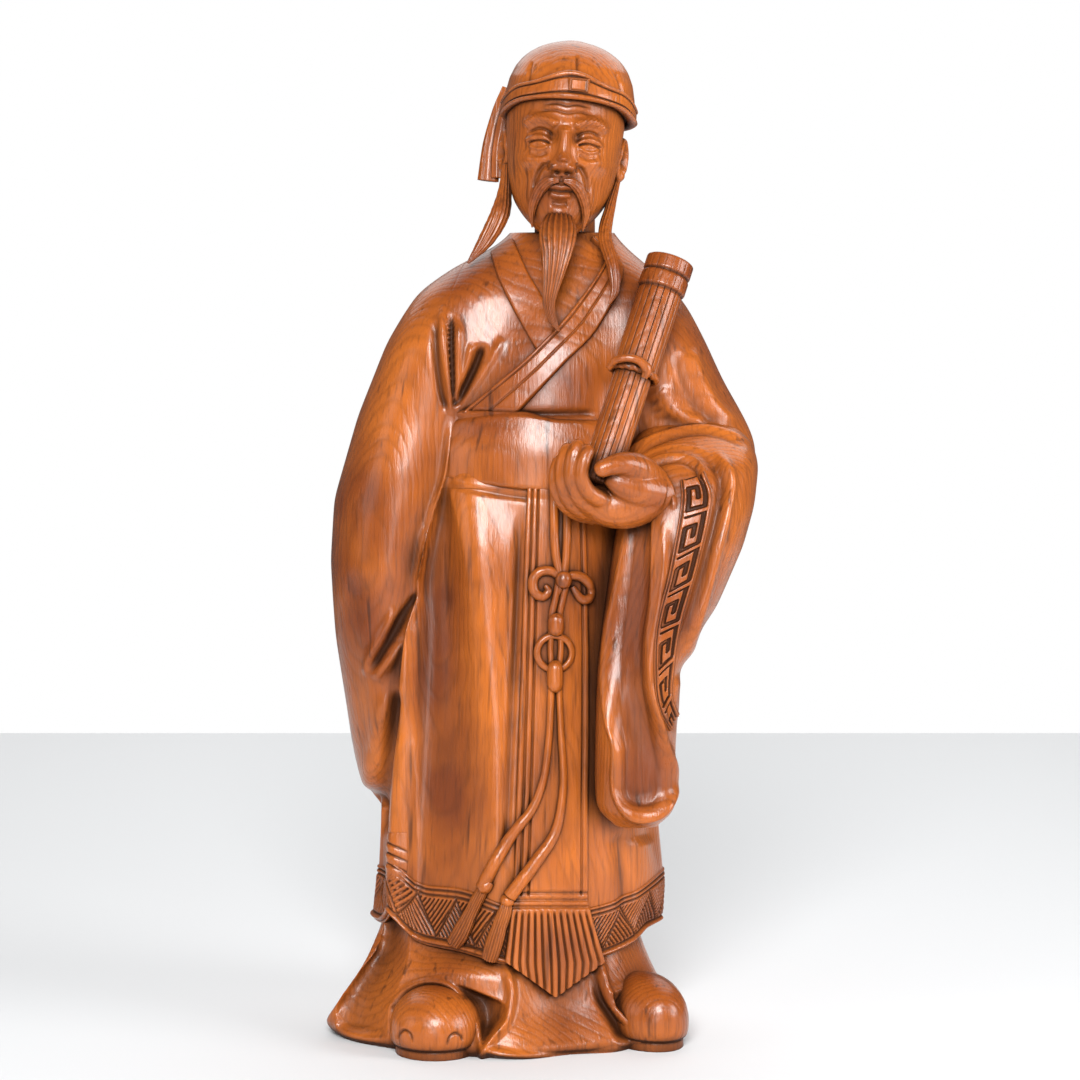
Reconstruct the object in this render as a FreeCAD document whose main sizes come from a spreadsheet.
import FreeCAD, Part
import math
import os
import Sketcher

from FreeCAD import Placement, Rotation, Vector

# A standing robed scholar carved in boxwood, about 200 mm tall, with a bundle of slips in its left hand.
# The figure faces -Y, +Z is up, and the origin is on the table at the middle of the base.
# Left and right are the figure's own: its right sleeve is on the -X side, its left hand and bundle on +X.
# It is built as a joined-block carving: every carved element is a block cut to sit on the one below it.

doc = FreeCAD.newDocument("RobedScholar")
sheet = doc.addObject("Spreadsheet::Sheet", "Sizes")

# Driving dimensions in millimetres, one cell each
SIZES = {
    # base and shoes
    "base_height": 20.0,
    "base_half_width": 36.5,
    "base_half_depth": 28.0,
    "base_offset_x": -7.3,
    "base_offset_y": -3.0,
    "base_fold_depth": 3.4,
    "shoe_length": 24.0,
    "shoe_width": 17.0,
    "shoe_height": 13.5,
    "right_shoe_x": -21.0,
    "left_shoe_x": 22.0,
    "shoe_front_y": -34.0,
    "left_shoe_turn": 32.0,
    "right_shoe_turn": -8.0,
    "left_shoe_setback": 7.0,
    # robe
    "robe_height": 138.0,
    "robe_half_width": 30.0,
    "robe_half_depth": 23.0,
    "robe_fold_depth": 2.0,
    "shoulder_width": 14.0,
    "shoulder_depth": 15.0,
    "shoulder_drop": 37.0,
    "sleeve_drop": 2.0,
    "elbow_drop": 34.5,
    # right sleeve, hanging behind the arm
    "right_sleeve_length": 110.0,
    "right_sleeve_half_width": 14.0,
    "right_sleeve_half_depth": 19.0,
    # left sleeve with its hanging cuff
    "left_sleeve_length": 78.0,
    "left_sleeve_half_width": 14.0,
    "left_sleeve_half_depth": 22.0,
    "cuff_hollow_half_width": 4.4,
    "cuff_hollow_depth": 3.6,
    "cuff_rim_radius": 1.3,
    "cuff_groove_radius": 1.3,
    # cloth laid on the robe
    "sash_thickness": 1.3,
    "sash_height": 13.5,
    "sash_bottom": 112.0,
    "panel_thickness": 1.1,
    "panel_half_width": 6.4,
    "panel_centre_x": 1.2,
    "panel_top": 112.0,
    "fringe_top": 30.0,
    "fringe_half_width": 9.8,
    "fringe_tip": 11.0,
    "fringe_lift": 2.0,
    "panel_hem_half_width": 7.4,
    "collar_thickness": 0.9,
    "collar_width": 6.6,
    # waist cord and its pendants
    "cord_radius": 0.75,
    "cord_gap": 1.8,
    "cord_offset_x": 1.1,
    "bow_height": 93.2,
    "bow_loop_radius": 1.7,
    "knot_radius": 1.4,
    "ring_height": 80.0,
    "ring_radius": 3.3,
    "ring_wire_radius": 0.7,
    "bead_radius": 1.5,
    "bead_length": 2.4,
    "tassel_radius": 1.9,
    # hand and bundle of slips
    "hand_x": 12.4,
    "hand_z": 113.0,
    "palm_x": 13.2,
    "palm_y": -26.8,
    "palm_z": 111.3,
    "bundle_foot_y": -28.5,
    "bundle_length": 47.8,
    "bundle_lean_x": 15.1,
    "bundle_lean_y": 14.4,
    "bundle_rise": 46.0,
    "bundle_rim_length": 6.0,
    "bundle_radius": 4.5,
    "bundle_sleeve_radius": 5.1,
    "bundle_sleeve_length": 24.0,
    "slip_groove_width": 0.5,
    "slip_groove_depth": 0.35,
    "tie_wire_radius": 0.7,
    "hand_half_width": 8.8,
    "wrist_radius": 5.0,
    "hand_half_depth": 6.6,
    "hand_half_height": 7.6,
    "finger_radius": 2.1,
    "thumb_radius": 2.6,
    # head
    "head_height": 35.5,
    "head_half_width": 11.9,
    "head_half_depth": 14.0,
    "head_centre_y": -3.4,
    "head_tilt": 4.5,
    "chin_x": 2.6,
    "chin_height": 162.0,
    "neck_x": 4.2,
    "neck_radius": 6.9,
    "neck_length": 22.0,
    "nose_width": 4.4,
    "ear_height": 8.6,
    "ear_width": 3.0,
    "ear_depth": 5.2,
    "cap_thickness": 1.5,
    "cap_band_thickness": 0.9,
    "cap_band_height": 5.0,
    "jewel_width": 3.6,
    "jewel_height": 2.9,
    "jewel_depth": 1.1,
    "ribbon_width": 5.4,
    "ribbon_thickness": 1.5,
    "beard_length": 21.0,
    "beard_half_width": 5.4,
    "beard_half_depth": 3.0,
    "moustache_radius": 1.0,
    "lock_radius": 2.3,
    # hidden joinery
    "neck_peg_radius": 2.5,
    "neck_peg_length": 24.0,
    "base_peg_radius": 3.0,
    "base_peg_length": 22.0,
    "wrist_peg_radius": 1.2,
    "wrist_peg_length": 12.0,
    "wrist_reach_x": 10.0,
    "wrist_reach_y": 8.0,
    "peg_clearance": 0.05,
    "overrun": 6.0,
}
for row, (alias, value) in enumerate(SIZES.items(), start=1):
    sheet.set(f"A{row}", alias.replace("_", " "))
    sheet.set(f"B{row}", str(value))
    sheet.setAlias(f"B{row}", alias)
doc.recompute()


def size(alias):
    """The sheet's value of one driving dimension, in millimetres."""
    return float(sheet.get(alias))


def feature(label, shape):
    """A document object that holds one free-form shape."""
    made = doc.addObject("Part::Feature", label)
    made.Label = label
    made.Shape = shape
    return made


def primitive(kind, label, **bound):
    """A Part primitive whose properties follow expressions on the sheet."""
    made = doc.addObject(kind, label)
    made.Label = label
    for name, expression in bound.items():
        made.setExpression(name, expression)
    return made


def placed(made, base, axis=Vector(0, 0, 1), turn=0.0):
    """Moves an object so that its own Z points along an axis, after a turn about it."""
    made.Placement = Placement(base, Rotation(Vector(0, 0, 1), axis) * Rotation(Vector(0, 0, 1), turn))
    return made


def cut(label, base, *tools):
    """What is left of a block after the pieces beneath it are taken out of it."""
    for number, tool in enumerate(tools, start=1):
        last = number == len(tools)
        made = doc.addObject("Part::Cut", label if last else f"{label}_fitting_{number}")
        made.Label = label if last else f"{label} fitting {number}"
        made.Base, made.Tool = base, tool
        base = made
    return base


def fuse(label, *parts):
    """One block made of several forms."""
    made = doc.addObject("Part::MultiFuse", label)
    made.Label = label
    made.Shapes = list(parts)
    return made


def common(label, base, tool):
    """What two forms share."""
    made = doc.addObject("Part::Common", label)
    made.Label = label
    made.Base, made.Tool = base, tool
    return made


def between(rows, height):
    """One row of a table of stations, read off at any height share, straight between its neighbours."""
    if height <= rows[0][0]:
        return rows[0]
    for low, high in zip(rows, rows[1:]):
        if height <= high[0]:
            share = (height - low[0]) / (high[0] - low[0])
            return tuple(a + share * (b - a) for a, b in zip(low, high))
    return rows[-1]


ARCS = 4


def closed_curve(points):
    """A smooth closed wire through points, in four arcs, so that a loft through it has no seam."""
    curve = Part.BSplineCurve()
    curve.interpolate(Points=points, PeriodicFlag=True)
    first, last = curve.FirstParameter, curve.LastParameter
    turns = [first + (last - first) * number / ARCS for number in range(ARCS + 1)]
    return Part.Wire([curve.toShape(start, end) for start, end in zip(turns, turns[1:])])


ELLIPSE = 2.0


def ring(centre, half_width, half_depth, swells=(0.0,) * 12, swell=0.0, fullness=ELLIPSE):
    """A closed smooth outline round a centre: an ellipse, or a squarer oval, that swells and dips with folds."""
    points = []
    for number, share in enumerate(swells):
        angle = 2 * math.pi * number / len(swells)
        cosine, sine = math.cos(angle), math.sin(angle)
        across = (half_width + swell * share) * math.copysign(abs(cosine) ** (ELLIPSE / fullness), cosine)
        forward = (half_depth + swell * share) * math.copysign(abs(sine) ** (ELLIPSE / fullness), sine)
        points.append(centre + Vector(across, forward, 0))
    return closed_curve(points)


def tube(points, radius):
    """A round cord of one thickness along a smooth curve."""
    return taper(points, [radius] * len(points))


ROUND_POINTS = 8


def taper(points, radii, flatness=1.0):
    """A lock, finger, cord or beard: round or flattened sections that follow a curve."""
    curve = Part.BSplineCurve()
    curve.interpolate(Points=points)
    wires = []
    for point, radius in zip(points, radii):
        along = curve.tangent(curve.parameter(point))[0]
        side = Vector(0, 1, 0).cross(along).normalize()
        front = along.cross(side).normalize()
        outline = []
        for number in range(ROUND_POINTS):
            angle = 2 * math.pi * number / ROUND_POINTS
            sideways = side * (radius * math.cos(angle))
            outline.append(point + sideways + front * (radius * flatness * math.sin(angle)))
        wires.append(closed_curve(outline))
    return Part.makeLoft(wires, True, False)


def outline_prism(points, near, far):
    """A flat outline of points in X and Z, carried along Y between two depths."""
    corners = [Vector(x, near, z) for x, z in points]
    face = Part.Face(Part.makePolygon(corners + corners[:1]))
    return face.extrude(Vector(0, far - near, 0))


# Robe: from the hem to the root of the neck
# height, middle in X, middle in Y, half width and half depth, as shares of the robe's own sizes
ROBE_SHARES = (
    (0.000, -0.21, -0.04, 0.955, 1.00),
    (0.070, -0.165, -0.04, 0.963, 1.00),
    (0.160, -0.173, -0.03, 0.933, 0.98),
    (0.290, -0.173, -0.02, 0.920, 0.94),
    (0.430, -0.153, 0.00, 0.900, 0.91),
    (0.580, -0.107, 0.00, 0.833, 0.87),
    (0.670, -0.053, 0.00, 0.780, 0.80),
    (0.770, 0.027, 0.02, 0.760, 0.76),
    (0.855, 0.087, 0.04, 0.720, 0.73),
    (0.935, 0.127, 0.07, 0.593, 0.60),
    (1.000, 0.140, 0.08, 0.400, 0.43),
)
# How far each direction stands out or in, all the way round from +X, as shares of the fold depth: loose
# folds behind, then a narrow ridge, a deep valley and a broad lobe in front, and a valley beside the panel
ROBE_FOLD_SHARES = (
    0.3, -0.5, 0.5, -0.6, 0.5, -0.6, 0.6, -0.5, 0.4, -0.3, 0.1, -0.3, 1.0, -1.3, 0.7, 0.0, 0.1, -0.7, 0.2, -0.4,
)
# How strong the folds are at each station
ROBE_FOLD_STRENGTH_SHARES = (1.0, 1.0, 1.0, 1.0, 0.9, 0.7, 0.15, 0.0, 0.0, 0.0, 0.0)

HEM = size("base_height")
NECK = HEM + size("robe_height")


def robe_station(height_share, grown=0.0):
    """The robe's outline at a height, grown outwards by a cloth's thickness."""
    row = between(ROBE_SHARES, height_share)
    strengths = [(r[0], s) for r, s in zip(ROBE_SHARES, ROBE_FOLD_STRENGTH_SHARES)]
    strength = between(strengths, height_share)[1]
    centre = Vector(
        row[1] * size("robe_half_width"),
        row[2] * size("robe_half_depth"),
        HEM + height_share * size("robe_height"),
    )
    return ring(
        centre,
        row[3] * size("robe_half_width") + grown,
        row[4] * size("robe_half_depth") + grown,
        ROBE_FOLD_SHARES,
        strength * size("robe_fold_depth"),
    )


def robe_skin(grown, low_share, high_share):
    """The robe's form between two height shares, grown by a thickness, for cloth laid on it."""
    inside = [r[0] for r in ROBE_SHARES if low_share < r[0] < high_share]
    return Part.makeLoft([robe_station(s, grown) for s in [low_share] + inside + [high_share]], True, False)


robe_form = feature("robe_form", robe_skin(0.0, 0.0, 1.0))

# Left shoulder and upper sleeve: part of the robe's block
# drop below the neck root, reach in X, middle in Y, half width and half depth, as shares
SHOULDER_SHARES = (
    (1.00, 2.02, 0.02, 1.00, 0.98),
    (0.84, 1.94, 0.02, 0.90, 0.95),
    (0.66, 1.78, 0.02, 0.79, 0.92),
    (0.46, 1.61, 0.00, 0.73, 0.88),
    (0.26, 1.40, 0.00, 0.68, 0.78),
    (0.08, 1.08, 0.00, 0.52, 0.58),
)
shoulder_wires = []
for drop, reach, middle, half_width, half_depth in SHOULDER_SHARES:
    shoulder_wires.append(
        ring(
            Vector(
                reach * size("shoulder_width"),
                middle * size("shoulder_depth"),
                NECK - drop * size("shoulder_drop"),
            ),
            half_width * size("shoulder_width"),
            half_depth * size("shoulder_depth"),
        )
    )
shoulder_form = feature("shoulder_form", Part.makeLoft(shoulder_wires, True, False))

neck_peg_hole = primitive(
    "Part::Cylinder",
    "neck_peg_hole",
    Radius="Sizes.neck_peg_radius + Sizes.peg_clearance",
    Height="Sizes.neck_peg_length",
)
NECK_PEG_BASE = Vector(size("neck_x"), size("head_centre_y") / 2, NECK - size("neck_peg_length") / 2)
placed(neck_peg_hole, NECK_PEG_BASE)
neck_peg = primitive(
    "Part::Cylinder", "neck_peg", Radius="Sizes.neck_peg_radius", Height="Sizes.neck_peg_length"
)
placed(neck_peg, NECK_PEG_BASE)

base_peg_hole = primitive(
    "Part::Cylinder",
    "base_peg_hole",
    Radius="Sizes.base_peg_radius + Sizes.peg_clearance",
    Height="Sizes.base_peg_length",
)
BASE_PEG_BASE = Vector(0, 0, HEM - size("base_peg_length") / 2)
placed(base_peg_hole, BASE_PEG_BASE)
base_peg = primitive(
    "Part::Cylinder", "base_peg", Radius="Sizes.base_peg_radius", Height="Sizes.base_peg_length"
)
placed(base_peg, BASE_PEG_BASE)

robe_block = fuse("robe_block", robe_form, shoulder_form)
robe = cut("robe_body", robe_block, neck_peg_hole, base_peg_hole)

# Sash: a broad band of cloth round the waist
sash_low = (size("sash_bottom") - HEM) / size("robe_height")
sash_high = sash_low + size("sash_height") / size("robe_height")
sash_form = feature("sash_form", robe_skin(size("sash_thickness"), sash_low, sash_high))
sash = cut("sash", sash_form, robe_block)

# Front panel: a long flap from the sash to a pointed fringe below the hem
panel_low = (size("fringe_tip") - HEM) / size("robe_height")
panel_high = (size("panel_top") - HEM) / size("robe_height")
hang = Vector(0, 0, size("fringe_tip") - HEM)
panel_wires = [robe_station(0.0, size("panel_thickness") + size("fringe_lift")).translated(hang)]
for station in ROBE_SHARES:
    if station[0] < panel_high:
        panel_wires.append(robe_station(station[0], size("panel_thickness")))
panel_wires.append(robe_station(panel_high, size("panel_thickness")))
panel_skin = feature("panel_skin", Part.makeLoft(panel_wires, True, False))
# Corners of the flap, across as shares of its half width and up in named heights
PANEL_X = size("panel_centre_x")
FRINGE_SHOULDER = (size("fringe_tip") + size("fringe_top")) / 2
panel_points = (
    (PANEL_X - size("panel_half_width"), size("panel_top")),
    (PANEL_X + size("panel_half_width"), size("panel_top")),
    (PANEL_X + size("panel_hem_half_width"), size("fringe_top")),
    (PANEL_X + size("fringe_half_width"), FRINGE_SHOULDER),
    (PANEL_X, size("fringe_tip")),
    (PANEL_X - size("fringe_half_width"), FRINGE_SHOULDER),
    (PANEL_X - size("panel_hem_half_width"), size("fringe_top")),
)
panel_outline = feature(
    "panel_outline", outline_prism(panel_points, -size("robe_half_depth") - size("overrun"), 0.0)
)
hem_core_wires = [robe_station(0.0, size("fringe_lift")).translated(hang), robe_station(0.0)]
hem_core = feature("hem_core", Part.makeLoft(hem_core_wires, True, False))
panel_blank = common("panel_blank", panel_skin, panel_outline)
front_panel = cut("front_panel", panel_blank, robe_block, sash, hem_core)

# Collar: two bands of cloth that cross on the chest, the left over the right, and meet behind the neck
# Edge points across as shares of the robe's half width, up as shares of its height
COLLAR_LEFT_EDGE_SHARES = ((0.40, 1.00), (0.20, 0.935), (0.02, 0.876), (-0.52, 0.766))
COLLAR_RIGHT_EDGE_SHARES = ((0.04, 0.860), (-0.17, 0.945), (-0.19, 1.00))
COLLAR_BACK_SHARES = ((-0.30, 1.00), (0.58, 1.00), (0.50, 0.950), (0.14, 0.925), (-0.24, 0.950))


def on_robe(shares):
    """Points of an outline on the robe, from shares of its half width and height."""
    return [(x * size("robe_half_width"), HEM + z * size("robe_height")) for x, z in shares]


def strip(edge, width):
    """A band of one width to the left of its edge line as it is walked, as an outline."""
    far = []
    for number, (x, z) in enumerate(edge):
        before = edge[max(number - 1, 0)]
        after = edge[min(number + 1, len(edge) - 1)]
        along = Vector(after[0] - before[0], 0, after[1] - before[1]).normalize()
        far.append((x - along.z * width, z + along.x * width))
    return edge + far[::-1]


collar_skin = feature("collar_skin", robe_skin(size("collar_thickness"), sash_high, 1.0))
FRONT = -size("robe_half_depth") - size("overrun")
LEFT_STRIP = strip(on_robe(COLLAR_LEFT_EDGE_SHARES), size("collar_width"))
RIGHT_STRIP = strip(on_robe(COLLAR_RIGHT_EDGE_SHARES), size("collar_width"))
collar_left_outline = feature("collar_left_outline", outline_prism(LEFT_STRIP, FRONT, 0.0))
collar_right_outline = feature("collar_right_outline", outline_prism(RIGHT_STRIP, FRONT, 0.0))
collar_back_outline = feature("collar_back_outline", outline_prism(on_robe(COLLAR_BACK_SHARES), 0.0, -FRONT))
collar_left_blank = common("collar_left_blank", collar_skin, collar_left_outline)
collar_left = cut("collar_left", collar_left_blank, robe_block, sash)
collar_right_blank = common("collar_right_blank", collar_skin, collar_right_outline)
collar_right = cut("collar_right", collar_right_blank, robe_block, sash, collar_left)
collar_back_blank = common("collar_back_blank", collar_skin, collar_back_outline)
collar_back = cut("collar_back", collar_back_blank, robe_block)

# Right sleeve: a long drape from the shoulder to a rounded end, its arm held behind the back
# drop below the shoulder, middle in X, middle in Y, half width and half depth, as shares
RIGHT_SLEEVE_SHARES = (
    (1.000, -0.980, 0.26, 0.36, 0.47),
    (0.927, -1.018, 0.26, 0.58, 0.74),
    (0.827, -1.018, 0.26, 0.70, 0.89),
    (0.690, -1.047, 0.26, 0.80, 0.97),
    (0.555, -1.037, 0.22, 0.90, 1.00),
    (0.436, -0.973, 0.17, 0.98, 0.97),
    (0.280, -0.800, 0.13, 1.00, 0.89),
    (0.145, -0.623, 0.09, 0.95, 0.79),
    (0.055, -0.467, 0.04, 0.86, 0.66),
    (0.000, -0.287, 0.04, 0.60, 0.47),
)
SLEEVE_TOP = NECK - size("sleeve_drop")


def sleeve_form(label, rows, top, length, half_width, half_depth, fullness=ELLIPSE):
    """A hanging sleeve: ovals at drops below its top, placed by the robe's own width and depth."""
    wires = []
    for drop, across, deep, wide, thick in rows:
        centre = Vector(across * size("robe_half_width"), deep * size("robe_half_depth"), top - drop * length)
        wires.append(ring(centre, wide * half_width, thick * half_depth, fullness=fullness))
    return feature(label, Part.makeLoft(wires, True, False))


right_sleeve_form = sleeve_form(
    "right_sleeve_form",
    RIGHT_SLEEVE_SHARES,
    SLEEVE_TOP,
    size("right_sleeve_length"),
    size("right_sleeve_half_width"),
    size("right_sleeve_half_depth"),
)
right_sleeve = cut("right_sleeve", right_sleeve_form, robe_block, sash, collar_right, collar_back)

# Left sleeve: the forearm comes forward and its wide cuff hangs open to the front
LEFT_SLEEVE_SHARES = (
    (0.987, 0.650, -1.02, 0.32, 0.27),
    (0.955, 0.653, -1.00, 0.54, 0.41),
    (0.865, 0.657, -0.96, 0.58, 0.48),
    (0.710, 0.677, -0.83, 0.59, 0.61),
    (0.610, 0.717, -0.70, 0.66, 0.75),
    (0.455, 0.817, -0.52, 0.81, 0.89),
    (0.300, 0.917, -0.41, 0.93, 0.98),
    (0.200, 0.960, -0.35, 0.985, 1.00),
    (0.096, 0.980, -0.26, 1.00, 0.95),
    (0.000, 1.000, -0.09, 0.93, 0.77),
)
LEFT_SLEEVE_FULLNESS = 2.7
ELBOW = NECK - size("elbow_drop")
left_sleeve_form = sleeve_form(
    "left_sleeve_form",
    LEFT_SLEEVE_SHARES,
    ELBOW,
    size("left_sleeve_length"),
    size("left_sleeve_half_width"),
    size("left_sleeve_half_depth"),
    LEFT_SLEEVE_FULLNESS,
)


def on_cuff(across_share, drop_share):
    """The place on the front of the left sleeve at a share across and a share of the drop."""
    row = between(sorted(LEFT_SLEEVE_SHARES), drop_share)
    across = across_share * size("robe_half_width")
    off = (across - row[1] * size("robe_half_width")) / (row[3] * size("left_sleeve_half_width"))
    bulge = (1 - min(abs(off), 1.0) ** LEFT_SLEEVE_FULLNESS) ** (1 / LEFT_SLEEVE_FULLNESS)
    forward = row[2] * size("robe_half_depth") - bulge * row[4] * size("left_sleeve_half_depth")
    return Vector(across, forward, ELBOW - drop_share * size("left_sleeve_length"))


# Hollow of the cuff: place across, drop below the elbow, half width and depth, as shares
CUFF_HOLLOW_SHARES = (
    (0.633, 0.958, 0.94, 0.50),
    (0.653, 0.927, 1.18, 0.75),
    (0.637, 0.851, 1.26, 0.88),
    (0.597, 0.781, 1.08, 0.92),
    (0.543, 0.708, 0.91, 1.00),
    (0.513, 0.599, 0.83, 1.00),
    (0.523, 0.474, 0.66, 1.00),
    (0.560, 0.349, 0.53, 0.90),
    (0.603, 0.249, 0.55, 0.75),
    (0.630, 0.199, 0.50, 0.30),
)
cuff_wires = []
for across, drop, wide, deep in CUFF_HOLLOW_SHARES:
    cuff_wires.append(
        ring(on_cuff(across, drop), wide * size("cuff_hollow_half_width"), deep * size("cuff_hollow_depth"))
    )
cuff_hollow = feature("cuff_hollow", Part.makeLoft(cuff_wires, True, False))
# The rolled rim between the hollow and the border, and the groove on the border's other side
CUFF_RIM_SHARES = ((0.770, 0.25), (0.727, 0.363), (0.687, 0.487), (0.683, 0.601), (0.733, 0.714), (0.82, 0.797))
CUFF_GROOVE_SHARES = ((1.140, 0.170), (1.120, 0.235), (1.07, 0.314), (0.993, 0.431), (0.917, 0.532))
cuff_rim = feature("cuff_rim", tube([on_cuff(*shares) for shares in CUFF_RIM_SHARES], size("cuff_rim_radius")))
cuff_groove = feature(
    "cuff_groove", tube([on_cuff(*shares) for shares in CUFF_GROOVE_SHARES], size("cuff_groove_radius"))
)
left_sleeve_full = fuse("left_sleeve_full", left_sleeve_form, cuff_rim)

# Wrist peg: a hidden dowel that holds the hand in the sleeve
PALM = Vector(size("palm_x"), size("palm_y"), size("palm_z"))
WRIST_AXIS = Vector(size("wrist_reach_x"), size("wrist_reach_y"), 0).normalize()
WRIST_PEG_BASE = PALM + WRIST_AXIS * (size("hand_half_width") - size("wrist_peg_length") / 3)
wrist_peg = primitive(
    "Part::Cylinder", "wrist_peg", Radius="Sizes.wrist_peg_radius", Height="Sizes.wrist_peg_length"
)
placed(wrist_peg, WRIST_PEG_BASE, WRIST_AXIS)
wrist_peg_hole = primitive(
    "Part::Cylinder",
    "wrist_peg_hole",
    Radius="Sizes.wrist_peg_radius + Sizes.peg_clearance",
    Height="Sizes.wrist_peg_length",
)
placed(wrist_peg_hole, WRIST_PEG_BASE, WRIST_AXIS)
left_sleeve_block = cut(
    "left_sleeve_block", left_sleeve_full, robe_block, sash, front_panel, cuff_hollow, cuff_groove
)
left_sleeve = cut("left_sleeve", left_sleeve_block, wrist_peg_hole)

# Bundle of bamboo slips: a fluted roll with a wider wrapped head, leaning from the hand to the shoulder
BUNDLE_FOOT = Vector(size("hand_x"), size("bundle_foot_y"), size("hand_z"))
BUNDLE_AXIS = Vector(size("bundle_lean_x"), size("bundle_lean_y"), size("bundle_rise")).normalize()
bundle_body = doc.addObject("PartDesign::Body", "bundle_body")
origin_parts = {part.Role: part for part in bundle_body.Origin.OriginFeatures}
SLIPS_AROUND = 16
FULL_TURN = 360


def round_sketch(name, radius_expression, height_expression=None, across_expression=None):
    """A circle on the bundle's XY plane, its radius, height and place across bound to the sheet."""
    sketch = bundle_body.newObject("Sketcher::SketchObject", name)
    sketch.AttachmentSupport = (origin_parts["XY_Plane"], "")
    sketch.MapMode = "FlatFace"
    sketch.addGeometry(Part.Circle(Vector(0, 0, 0), Vector(0, 0, 1), 1.0), False)
    radius = sketch.addConstraint(Sketcher.Constraint("Radius", 0, 1.0))
    sketch.setExpression(f"Constraints[{radius}]", radius_expression)
    if height_expression:
        sketch.setExpression("AttachmentOffset.Base.z", height_expression)
    if across_expression:
        sketch.setExpression("AttachmentOffset.Base.x", across_expression)
    return sketch


def extruded(kind, name, sketch, length_expression):
    """A pad or pocket of a sketch along the bundle, its length bound to the sheet."""
    made = bundle_body.newObject(kind, name)
    made.Profile = sketch
    made.Reversed = kind == "PartDesign::Pocket"
    made.setExpression("Length", length_expression)
    return made


ROLL_LENGTH = "Sizes.bundle_length - Sizes.bundle_sleeve_length"
roll_sketch = round_sketch("roll_sketch", "Sizes.bundle_radius")
extruded("PartDesign::Pad", "roll_pad", roll_sketch, "Sizes.bundle_length")
wrap_sketch = round_sketch("wrap_sketch", "Sizes.bundle_sleeve_radius", ROLL_LENGTH)
extruded("PartDesign::Pad", "wrap_pad", wrap_sketch, "Sizes.bundle_sleeve_length")
doc.recompute()
solid_volume = bundle_body.Shape.Volume
low_groove_sketch = round_sketch(
    "low_groove_sketch",
    "Sizes.slip_groove_width",
    None,
    "Sizes.bundle_radius + Sizes.slip_groove_width - Sizes.slip_groove_depth",
)
low_groove = extruded("PartDesign::Pocket", "low_groove", low_groove_sketch, ROLL_LENGTH)
high_groove_sketch = round_sketch(
    "high_groove_sketch",
    "Sizes.slip_groove_width",
    ROLL_LENGTH,
    "Sizes.bundle_sleeve_radius + Sizes.slip_groove_width - Sizes.slip_groove_depth",
)
high_groove = extruded(
    "PartDesign::Pocket",
    "high_groove",
    high_groove_sketch,
    "Sizes.bundle_sleeve_length - Sizes.bundle_rim_length",
)
doc.recompute()
slip_grooves = bundle_body.newObject("PartDesign::PolarPattern", "slip_grooves")
slip_grooves.Originals = [low_groove, high_groove]
slip_grooves.Axis = (origin_parts["Z_Axis"], "")
slip_grooves.Angle = FULL_TURN
slip_grooves.Occurrences = SLIPS_AROUND
bundle_body.Tip = slip_grooves
placed(bundle_body, BUNDLE_FOOT, BUNDLE_AXIS)
doc.recompute()
print("bundle grooves take out", round(solid_volume - bundle_body.Shape.Volume, 2), "cubic mm")
bundle = cut("bamboo_slips", bundle_body, robe_block, left_sleeve_form, collar_left)

# Tie: a cord round the bundle, just above the foot of its wrapped head
TIE_CENTRE = BUNDLE_FOOT + BUNDLE_AXIS * (
    size("bundle_length") - size("bundle_sleeve_length") + size("tie_wire_radius")
)
tie_form = primitive(
    "Part::Torus", "tie_form", Radius1="Sizes.bundle_sleeve_radius", Radius2="Sizes.tie_wire_radius"
)
placed(tie_form, TIE_CENTRE, BUNDLE_AXIS)
bundle_tie = cut("bundle_tie", tie_form, bundle_body, robe_block)

# Left hand: a cupped palm, four fingers curled up on its right side and the thumb laid in front of the bundle
palm_form = primitive(
    "Part::Ellipsoid",
    "palm_form",
    Radius1="Sizes.hand_half_height",
    Radius2="Sizes.hand_half_width",
    Radius3="Sizes.hand_half_depth",
)
placed(palm_form, PALM)
# Points of a finger from its knuckle to its tip: across, forward and up, as shares of the hand's half sizes
FINGER_SHARES = (
    (0.20, -0.30, -0.50),
    (-0.25, -0.62, -0.42),
    (-0.56, -0.70, -0.02),
    (-0.64, -0.66, 0.50),
    (-0.42, -0.52, 1.08),
)
FINGER_RADIUS_SHARES = (1.0, 1.0, 0.95, 0.85, 0.55)
THUMB_SHARES = ((1.00, -0.30, 0.10), (0.62, -0.72, 0.42), (0.22, -0.98, 0.64), (-0.18, -1.08, 0.70))
THUMB_RADIUS_SHARES = (1.30, 1.15, 0.90, 0.60)
FINGER_COUNT = 4
FINGER_STEP_SHARES = (-0.20, 0.24, 0.03)


def hand_point(shares):
    """A place on the hand from shares of its half width, half depth and half height."""
    across, forward, up = shares
    return PALM + Vector(
        across * size("hand_half_width"), forward * size("hand_half_depth"), up * size("hand_half_height")
    )


hand_forms = [palm_form]
for number in range(FINGER_COUNT):
    step = hand_point([number * s for s in FINGER_STEP_SHARES]) - PALM
    finger_points = [hand_point(shares) + step for shares in FINGER_SHARES]
    finger_radii = [share * size("finger_radius") for share in FINGER_RADIUS_SHARES]
    hand_forms.append(feature(f"finger_{number + 1}", taper(finger_points, finger_radii)))
thumb_points = [hand_point(shares) for shares in THUMB_SHARES]
thumb_radii = [share * size("thumb_radius") for share in THUMB_RADIUS_SHARES]
hand_forms.append(feature("thumb", taper(thumb_points, thumb_radii)))
wrist_form = primitive(
    "Part::Cylinder", "wrist_form", Radius="Sizes.wrist_radius", Height="2 * Sizes.wrist_radius"
)
placed(wrist_form, PALM + WRIST_AXIS * (size("hand_half_width") - size("wrist_radius")), WRIST_AXIS)
hand_forms.append(wrist_form)
hand_form = fuse("hand_form", *hand_forms)
left_hand = cut(
    "left_hand", hand_form, bundle_body, left_sleeve_block, robe_block, sash, front_panel, wrist_peg_hole
)

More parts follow.
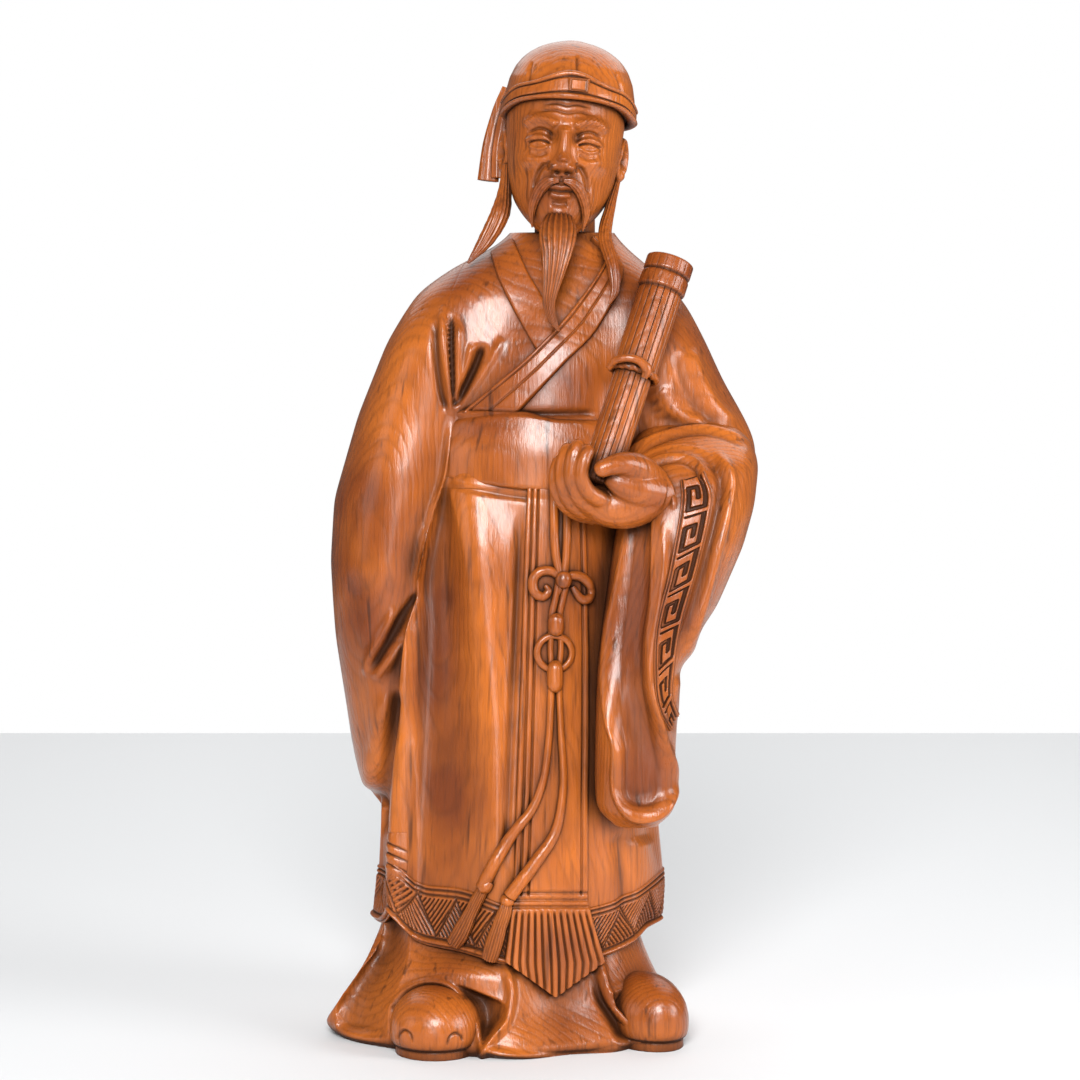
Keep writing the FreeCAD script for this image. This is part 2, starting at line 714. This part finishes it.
# Head: worked out in its own frame, whose origin is the chin, then tilted and set on the neck
HEAD_PLACE = Placement(
    Vector(size("chin_x"), size("head_centre_y"), size("chin_height")),
    Rotation(Vector(0, 1, 0), size("head_tilt")),
)


def head_point(shares):
    """A place in the head's frame, from shares of its half width, half depth and height."""
    across, forward, up = shares
    return Vector(
        across * size("head_half_width"), forward * size("head_half_depth"), up * size("head_height")
    )


def on_head(made):
    """Sets a piece that was worked out in the head's frame on the neck."""
    made.Placement = HEAD_PLACE.multiply(made.Placement)
    return made


# height, middle in Y, half width and half depth, as shares
HEAD_SHARES = (
    (0.00, -0.46, 0.30, 0.26),
    (0.06, -0.34, 0.55, 0.52),
    (0.16, -0.15, 0.78, 0.78),
    (0.30, -0.03, 0.90, 0.92),
    (0.45, 0.01, 0.95, 0.97),
    (0.60, 0.04, 1.00, 1.00),
    (0.75, 0.05, 0.97, 0.98),
    (0.88, 0.06, 0.80, 0.82),
    (0.96, 0.07, 0.52, 0.54),
    (1.00, 0.07, 0.20, 0.20),
)


def head_station(up, grown=0.0):
    """The head's outline at a height share, grown outwards by a thickness."""
    row = between(HEAD_SHARES, up)
    return ring(
        head_point((0.0, row[1], up)),
        row[2] * size("head_half_width") + grown,
        row[3] * size("head_half_depth") + grown,
    )


skull_wires = [head_station(row[0]) for row in HEAD_SHARES]
skull_form = on_head(feature("skull_form", Part.makeLoft(skull_wires, True, False)))
NOSE_SHARES = ((0.00, -0.93, 0.50), (0.00, -1.02, 0.40), (0.00, -1.10, 0.29), (0.00, -0.98, 0.245))
NOSE_RADIUS_SHARES = (0.45, 0.70, 1.00, 0.80)
nose_radii = [share * size("nose_width") / 2 for share in NOSE_RADIUS_SHARES]
nose_form = on_head(feature("nose_form", taper([head_point(s) for s in NOSE_SHARES], nose_radii)))
EAR_ACROSS_SHARE = 0.98
EAR_UP_SHARE = 0.42
ear_forms = []
for side in (-1, 1):
    ear = primitive(
        "Part::Ellipsoid",
        "right_ear" if side < 0 else "left_ear",
        Radius1="Sizes.ear_height / 2",
        Radius2="Sizes.ear_width / 2",
        Radius3="Sizes.ear_depth / 2",
    )
    placed(ear, head_point((side * EAR_ACROSS_SHARE, 0.0, EAR_UP_SHARE)))
    ear_forms.append(on_head(ear))
neck_form = primitive("Part::Cylinder", "neck_form", Radius="Sizes.neck_radius", Height="Sizes.neck_length")
placed(neck_form, Vector(size("neck_x"), size("head_centre_y") / 2, NECK - size("neck_length") / 2))
head_block = fuse("head_block", skull_form, nose_form, *ear_forms, neck_form)
head = cut("head", head_block, robe_block, neck_peg_hole)

# Cap: a close dome of cloth with a band round its foot, a square jewel and a ribbon tied at the back
# height from the chin, middle in Y, half width and half depth, as shares of the head's sizes
CAP_SHARES = (
    (0.66, 0.05, 0.99, 0.99),
    (0.80, 0.06, 0.99, 1.00),
    (0.90, 0.07, 0.92, 0.95),
    (0.98, 0.08, 0.74, 0.78),
    (1.035, 0.09, 0.48, 0.52),
    (1.06, 0.10, 0.16, 0.18),
)


def cap_station(up, grown):
    """The cap's outline at a height share, grown outwards by a thickness."""
    row = between(CAP_SHARES, up)
    return ring(
        head_point((0.0, row[1], up)),
        row[2] * size("head_half_width") + grown,
        row[3] * size("head_half_depth") + grown,
    )


cap_wires = [cap_station(row[0], size("cap_thickness")) for row in CAP_SHARES]
cap_form = on_head(feature("cap_form", Part.makeLoft(cap_wires, True, False)))
cap = cut("cap", cap_form, head_block)
band_low = CAP_SHARES[0][0]
band_high = band_low + size("cap_band_height") / size("head_height")
band_middle = (band_low + band_high) / 2
BAND_GROWTH = size("cap_thickness") + size("cap_band_thickness")
band_wires = [cap_station(share, BAND_GROWTH) for share in (band_low, band_middle, band_high)]
band_form = on_head(feature("band_form", Part.makeLoft(band_wires, True, False)))
cap_band = cut("cap_band", band_form, head_block, cap_form)
jewel_form = primitive(
    "Part::Box",
    "jewel_form",
    Length="Sizes.jewel_width",
    Width="Sizes.jewel_depth + Sizes.cap_band_thickness",
    Height="Sizes.jewel_height",
)
band_row = between(CAP_SHARES, band_middle)
band_front = (band_row[1] - band_row[3]) * size("head_half_depth") - BAND_GROWTH
JEWEL_CORNER = Vector(
    -size("jewel_width") / 2,
    band_front - size("jewel_depth"),
    band_middle * size("head_height") - size("jewel_height") / 2,
)
jewel_form.Placement = Placement(JEWEL_CORNER, Rotation())
on_head(jewel_form)
cap_jewel = cut("cap_jewel", jewel_form, cap_form, band_form)
# Ribbon: two flat tails behind the right ear, from the band down to the nape
RIBBON_SHARES = ((-0.86, 0.72, 0.80), (-1.06, 0.74, 0.66), (-1.16, 0.72, 0.48), (-1.22, 0.66, 0.30))
RIBBON_WIDTH_SHARES = (0.7, 0.9, 1.0, 1.1)
ribbon_points = [head_point(shares) for shares in RIBBON_SHARES]
ribbon_radii = [share * size("ribbon_width") / 2 for share in RIBBON_WIDTH_SHARES]
RIBBON_FLATNESS = size("ribbon_thickness") / size("ribbon_width")
ribbon_form = on_head(feature("ribbon_form", taper(ribbon_points, ribbon_radii, RIBBON_FLATNESS)))
cap_ribbon = cut("cap_ribbon", ribbon_form, head_block, cap_form, band_form)

# Moustache: two strands that droop past the corners of the mouth
MOUSTACHE_SHARES = ((0.10, -0.98, 0.235), (0.36, -0.97, 0.19), (0.52, -0.86, 0.09), (0.50, -0.74, 0.00))
MOUSTACHE_RADIUS_SHARES = (1.0, 1.0, 0.7, 0.3)
moustache_radii = [share * size("moustache_radius") for share in MOUSTACHE_RADIUS_SHARES]
moustache_strands = []
for side in (-1, 1):
    strand_points = [head_point((side * across, forward, up)) for across, forward, up in MOUSTACHE_SHARES]
    strand_name = "right_strand" if side < 0 else "left_strand"
    moustache_strands.append(on_head(feature(strand_name, taper(strand_points, moustache_radii))))
moustache_form = fuse("moustache_form", *moustache_strands)
moustache = cut("moustache", moustache_form, head_block)

# Beard: a long flat tuft from the chin, swaying a little, its tip on the collar
# across in its own half width, forward in its own half depth, and drop in its own length
BEARD_SHARES = (
    (0.0, 0.0, 0.0),
    (-0.05, -0.8, 0.25),
    (-0.15, -1.0, 0.50),
    (0.02, -1.15, 0.76),
    (-0.12, -1.35, 1.0),
)
BEARD_RADIUS_SHARES = (0.96, 0.86, 0.60, 0.40, 0.12)
CHIN = HEAD_PLACE.multVec(head_point((0.0, -0.66, 0.06)))
beard_points = []
for across, forward, drop in BEARD_SHARES:
    beard_points.append(
        CHIN
        + Vector(
            across * size("beard_half_width"),
            forward * size("beard_half_depth"),
            -drop * size("beard_length"),
        )
    )
beard_radii = [share * size("beard_half_width") for share in BEARD_RADIUS_SHARES]
beard_form = feature(
    "beard_form", taper(beard_points, beard_radii, size("beard_half_depth") / size("beard_half_width"))
)
beard = cut("beard", beard_form, head_block, robe_block, collar_left, collar_right, moustache_form)

# Locks of hair that fall from behind the ears on to the shoulders, in the head's frame
LOCK_SHARES = {
    "right_hair_lock": (
        (-0.90, -0.10, 0.36),
        (-0.98, -0.28, 0.08),
        (-1.20, -0.42, -0.08),
        (-1.50, -0.42, -0.165),
    ),
    "left_hair_lock": (
        (0.90, -0.06, 0.36),
        (0.84, -0.28, 0.06),
        (0.86, -0.48, -0.14),
        (0.90, -0.72, -0.32),
    ),
}
LOCK_RADIUS_SHARES = (0.95, 1.10, 0.85, 0.25)
lock_radii = [share * size("lock_radius") for share in LOCK_RADIUS_SHARES]
locks = []
for name, lock_shares in LOCK_SHARES.items():
    lock_form = on_head(feature(f"{name}_form", taper([head_point(s) for s in lock_shares], lock_radii)))
    locks.append(cut(name, lock_form, head_block, robe_block, right_sleeve, collar_left, collar_right))

# Waist cord: two strands from under the sash to a bow, a ring hung between two beads, and two tassels
doc.recompute()
SKIRT_FRONT = robe_block.Shape.fuse(front_panel.Shape)


def laid(across, height, lift):
    """A place on the front of the skirt and its panel, stood off by a lift."""
    sight = Part.makeLine(
        Vector(across, FRONT - size("overrun"), height), Vector(across, size("head_centre_y"), height)
    )
    seen = SKIRT_FRONT.common(sight)
    nearest = min(vertex.Y for vertex in seen.Vertexes)
    return Vector(across, nearest - lift, height)


SEAT_SHARE = 0.75
CORD_LIFT = SEAT_SHARE * size("cord_radius")
CORD_X = size("panel_centre_x") + size("cord_offset_x")


def cord(label, places):
    """A cord laid on the skirt through places given as across and height."""
    return feature(label, tube([laid(x, z, CORD_LIFT) for x, z in places], size("cord_radius")))


strand_forms = []
for side in (-1, 1):
    across = CORD_X + side * size("cord_gap") / 2
    middle = (size("sash_bottom") + size("bow_height")) / 2
    places = [
        (across, size("sash_bottom") + size("cord_radius")),
        (across, middle),
        (CORD_X + side * size("cord_gap") / 4, size("bow_height")),
    ]
    strand_forms.append(cord("right_strand_cord" if side < 0 else "left_strand_cord", places))
DROP_TOP = size("bow_height")
DROP_FOOT = size("ring_height") + size("ring_radius")
DROP_MIDDLE = (DROP_TOP + DROP_FOOT) / 2
strand_forms.append(cord("drop_cord", [(CORD_X, DROP_TOP), (CORD_X, DROP_MIDDLE), (CORD_X, DROP_FOOT)]))
waist_cord_form = fuse("waist_cord_form", *strand_forms)
waist_cord = cut("waist_cord", waist_cord_form, robe_block, front_panel, sash)

bow_forms = []
for side in (-1, 1):
    loop = primitive(
        "Part::Torus",
        "right_loop" if side < 0 else "left_loop",
        Radius1="Sizes.bow_loop_radius",
        Radius2="Sizes.cord_radius",
    )
    reach = size("knot_radius") + size("bow_loop_radius")
    placed(loop, laid(CORD_X + side * reach, size("bow_height"), CORD_LIFT), Vector(0, 1, 0))
    bow_forms.append(loop)
knot = primitive("Part::Sphere", "knot", Radius="Sizes.knot_radius")
placed(knot, laid(CORD_X, size("bow_height"), CORD_LIFT))
bow_forms.append(knot)
bow_form = fuse("bow_form", *bow_forms)
cord_bow = cut("cord_bow", bow_form, robe_block, front_panel, waist_cord_form)

bead_forms = []
for label, height in (
    ("upper_bead", size("ring_height") + size("ring_radius")),
    ("lower_bead", size("ring_height") - size("ring_radius") - size("bead_length") / 2),
):
    bead = primitive(
        "Part::Ellipsoid",
        label,
        Radius1="Sizes.bead_length / 2",
        Radius2="Sizes.bead_radius",
        Radius3="Sizes.bead_radius",
    )
    placed(bead, laid(CORD_X, height, CORD_LIFT))
    bead_forms.append(bead)
beads_form = fuse("beads_form", *bead_forms)
cord_beads = cut("cord_beads", beads_form, robe_block, front_panel, waist_cord_form)
ring_form = primitive(
    "Part::Torus", "ring_form", Radius1="Sizes.ring_radius", Radius2="Sizes.ring_wire_radius"
)
placed(ring_form, laid(CORD_X, size("ring_height"), CORD_LIFT), Vector(0, 1, 0))
pendant_ring = cut("pendant_ring", ring_form, robe_block, front_panel, beads_form, waist_cord_form)

# Places along the two tassel cords: across in panel half widths from the cord, and down from the ring
# as a share of the way to the hem
TASSEL_CORD_SHARES = {
    "right": ((-0.16, 0.06), (-0.26, 0.34), (-0.56, 0.54), (-1.04, 0.66), (-1.84, 0.76), (-2.16, 0.79)),
    "left": ((0.16, 0.06), (0.18, 0.34), (0.00, 0.54), (-0.40, 0.66), (-0.96, 0.76), (-1.30, 0.845)),
}
TASSEL_END_SHARES = {"right": (-3.06, 0.975), "left": (-1.92, 1.01)}
FALL = size("ring_height") - size("ring_radius") - size("base_height")
TASSEL_RADIUS_SHARES = (0.55, 0.95, 1.0, 0.80)
tassel_cord_forms = []
tassel_forms = []


def pendant_place(shares):
    """Across and height of a place on the tassel cords."""
    across, drop = shares
    return CORD_X + across * size("panel_half_width"), size("ring_height") - size("ring_radius") - drop * FALL


for side, cord_shares in TASSEL_CORD_SHARES.items():
    tassel_cord_forms.append(cord(f"{side}_tassel_cord", [pendant_place(s) for s in cord_shares]))
    head_x, head_z = pendant_place(cord_shares[-1])
    end_x, end_z = pendant_place(TASSEL_END_SHARES[side])
    tassel_points = []
    for number in range(len(TASSEL_RADIUS_SHARES)):
        along = number / (len(TASSEL_RADIUS_SHARES) - 1)
        height = max(head_z + along * (end_z - head_z), HEM)
        lift = SEAT_SHARE * size("tassel_radius")
        tassel_points.append(laid(head_x + along * (end_x - head_x), height, lift))
    radii = [share * size("tassel_radius") for share in TASSEL_RADIUS_SHARES]
    tassel_forms.append(feature(f"{side}_tassel", taper(tassel_points, radii)))
tassels_form = fuse("tassels_form", *tassel_forms)
tassels = cut("tassels", tassels_form, robe_block, front_panel)
tassel_cords_form = fuse("tassel_cords_form", *tassel_cord_forms)
tassel_cords = cut(
    "tassel_cords", tassel_cords_form, robe_block, front_panel, tassels_form, beads_form, ring_form
)

# Shoes: two rounded toes that stand on the table
# height, half width and half length, as shares
SHOE_SHARES = (
    (0.00, 0.86, 0.90),
    (0.22, 1.00, 1.00),
    (0.55, 0.94, 0.93),
    (0.84, 0.66, 0.70),
    (1.00, 0.24, 0.30),
)


def shoe(label, place_x, place_y, turn):
    """A rounded shoe standing on the table, its toe forward, turned about its middle."""
    wires = []
    for up, wide, long in SHOE_SHARES:
        centre = Vector(0, 0, up * size("shoe_height"))
        wires.append(ring(centre, wide * size("shoe_width") / 2, long * size("shoe_length") / 2))
    made = feature(label, Part.makeLoft(wires, True, False))
    return placed(made, Vector(place_x, place_y, 0), turn=turn)


SHOE_Y = size("shoe_front_y") + size("shoe_length") / 2
right_shoe = shoe("right_shoe", size("right_shoe_x"), SHOE_Y, size("right_shoe_turn"))
left_shoe = shoe("left_shoe", size("left_shoe_x"), SHOE_Y + size("left_shoe_setback"), size("left_shoe_turn"))

# Underskirt: the flared, folded hem of the inner robe, which is the foot of the carving
# height, half width and half depth, as shares, and how strong the folds are
UNDERSKIRT_SHARES = (
    (0.00, 0.985, 0.960, 1.00),
    (0.12, 1.000, 0.970, 1.00),
    (0.40, 0.920, 0.830, 0.80),
    (0.70, 0.830, 0.740, 0.50),
    (1.00, 0.760, 0.700, 0.30),
)
UNDERSKIRT_FOLD_SHARES = (
    0.1, -0.6, 0.5, -0.6, 0.4, -0.5, 0.6, -0.4, 0.6, 1.0, 0.1, -0.9, 0.3, 0.8, 0.2, -0.9,
)
underskirt_wires = []
for up, wide, deep, strength in UNDERSKIRT_SHARES:
    underskirt_wires.append(
        ring(
            Vector(size("base_offset_x"), size("base_offset_y"), up * size("base_height")),
            wide * size("base_half_width"),
            deep * size("base_half_depth"),
            UNDERSKIRT_FOLD_SHARES,
            strength * size("base_fold_depth"),
        )
    )
underskirt_form = feature("underskirt_form", Part.makeLoft(underskirt_wires, True, False))
underskirt = cut("underskirt", underskirt_form, front_panel, right_shoe, left_shoe, base_peg_hole)

doc.recompute()
SUB_PARTS = (
    [robe, sash, front_panel, collar_left, collar_right, collar_back, right_sleeve, left_sleeve]
    + [bundle, bundle_tie, left_hand, head, cap, cap_band, cap_jewel, cap_ribbon, moustache, beard]
    + locks
    + [waist_cord, cord_bow, cord_beads, pendant_ring, tassel_cords, tassels]
    + [underskirt, right_shoe, left_shoe, neck_peg, base_peg, wrist_peg]
)
for made in doc.Objects:
    if "Invalid" in made.State or "Error" in made.State:
        raise RuntimeError(f"{made.Label} could not be built")
for made in SUB_PARTS:
    if made.Shape.isNull() or not made.Shape.isValid() or not made.Shape.Solids:
        raise RuntimeError(f"{made.Label} has no valid solid")
os.makedirs("parts", exist_ok=True)
for made in SUB_PARTS:
    made.Shape.exportStep(f"parts/{made.Label}.step")
    print(made.Label, len(made.Shape.Solids), "solid,", round(made.Shape.Volume), "cubic mm")
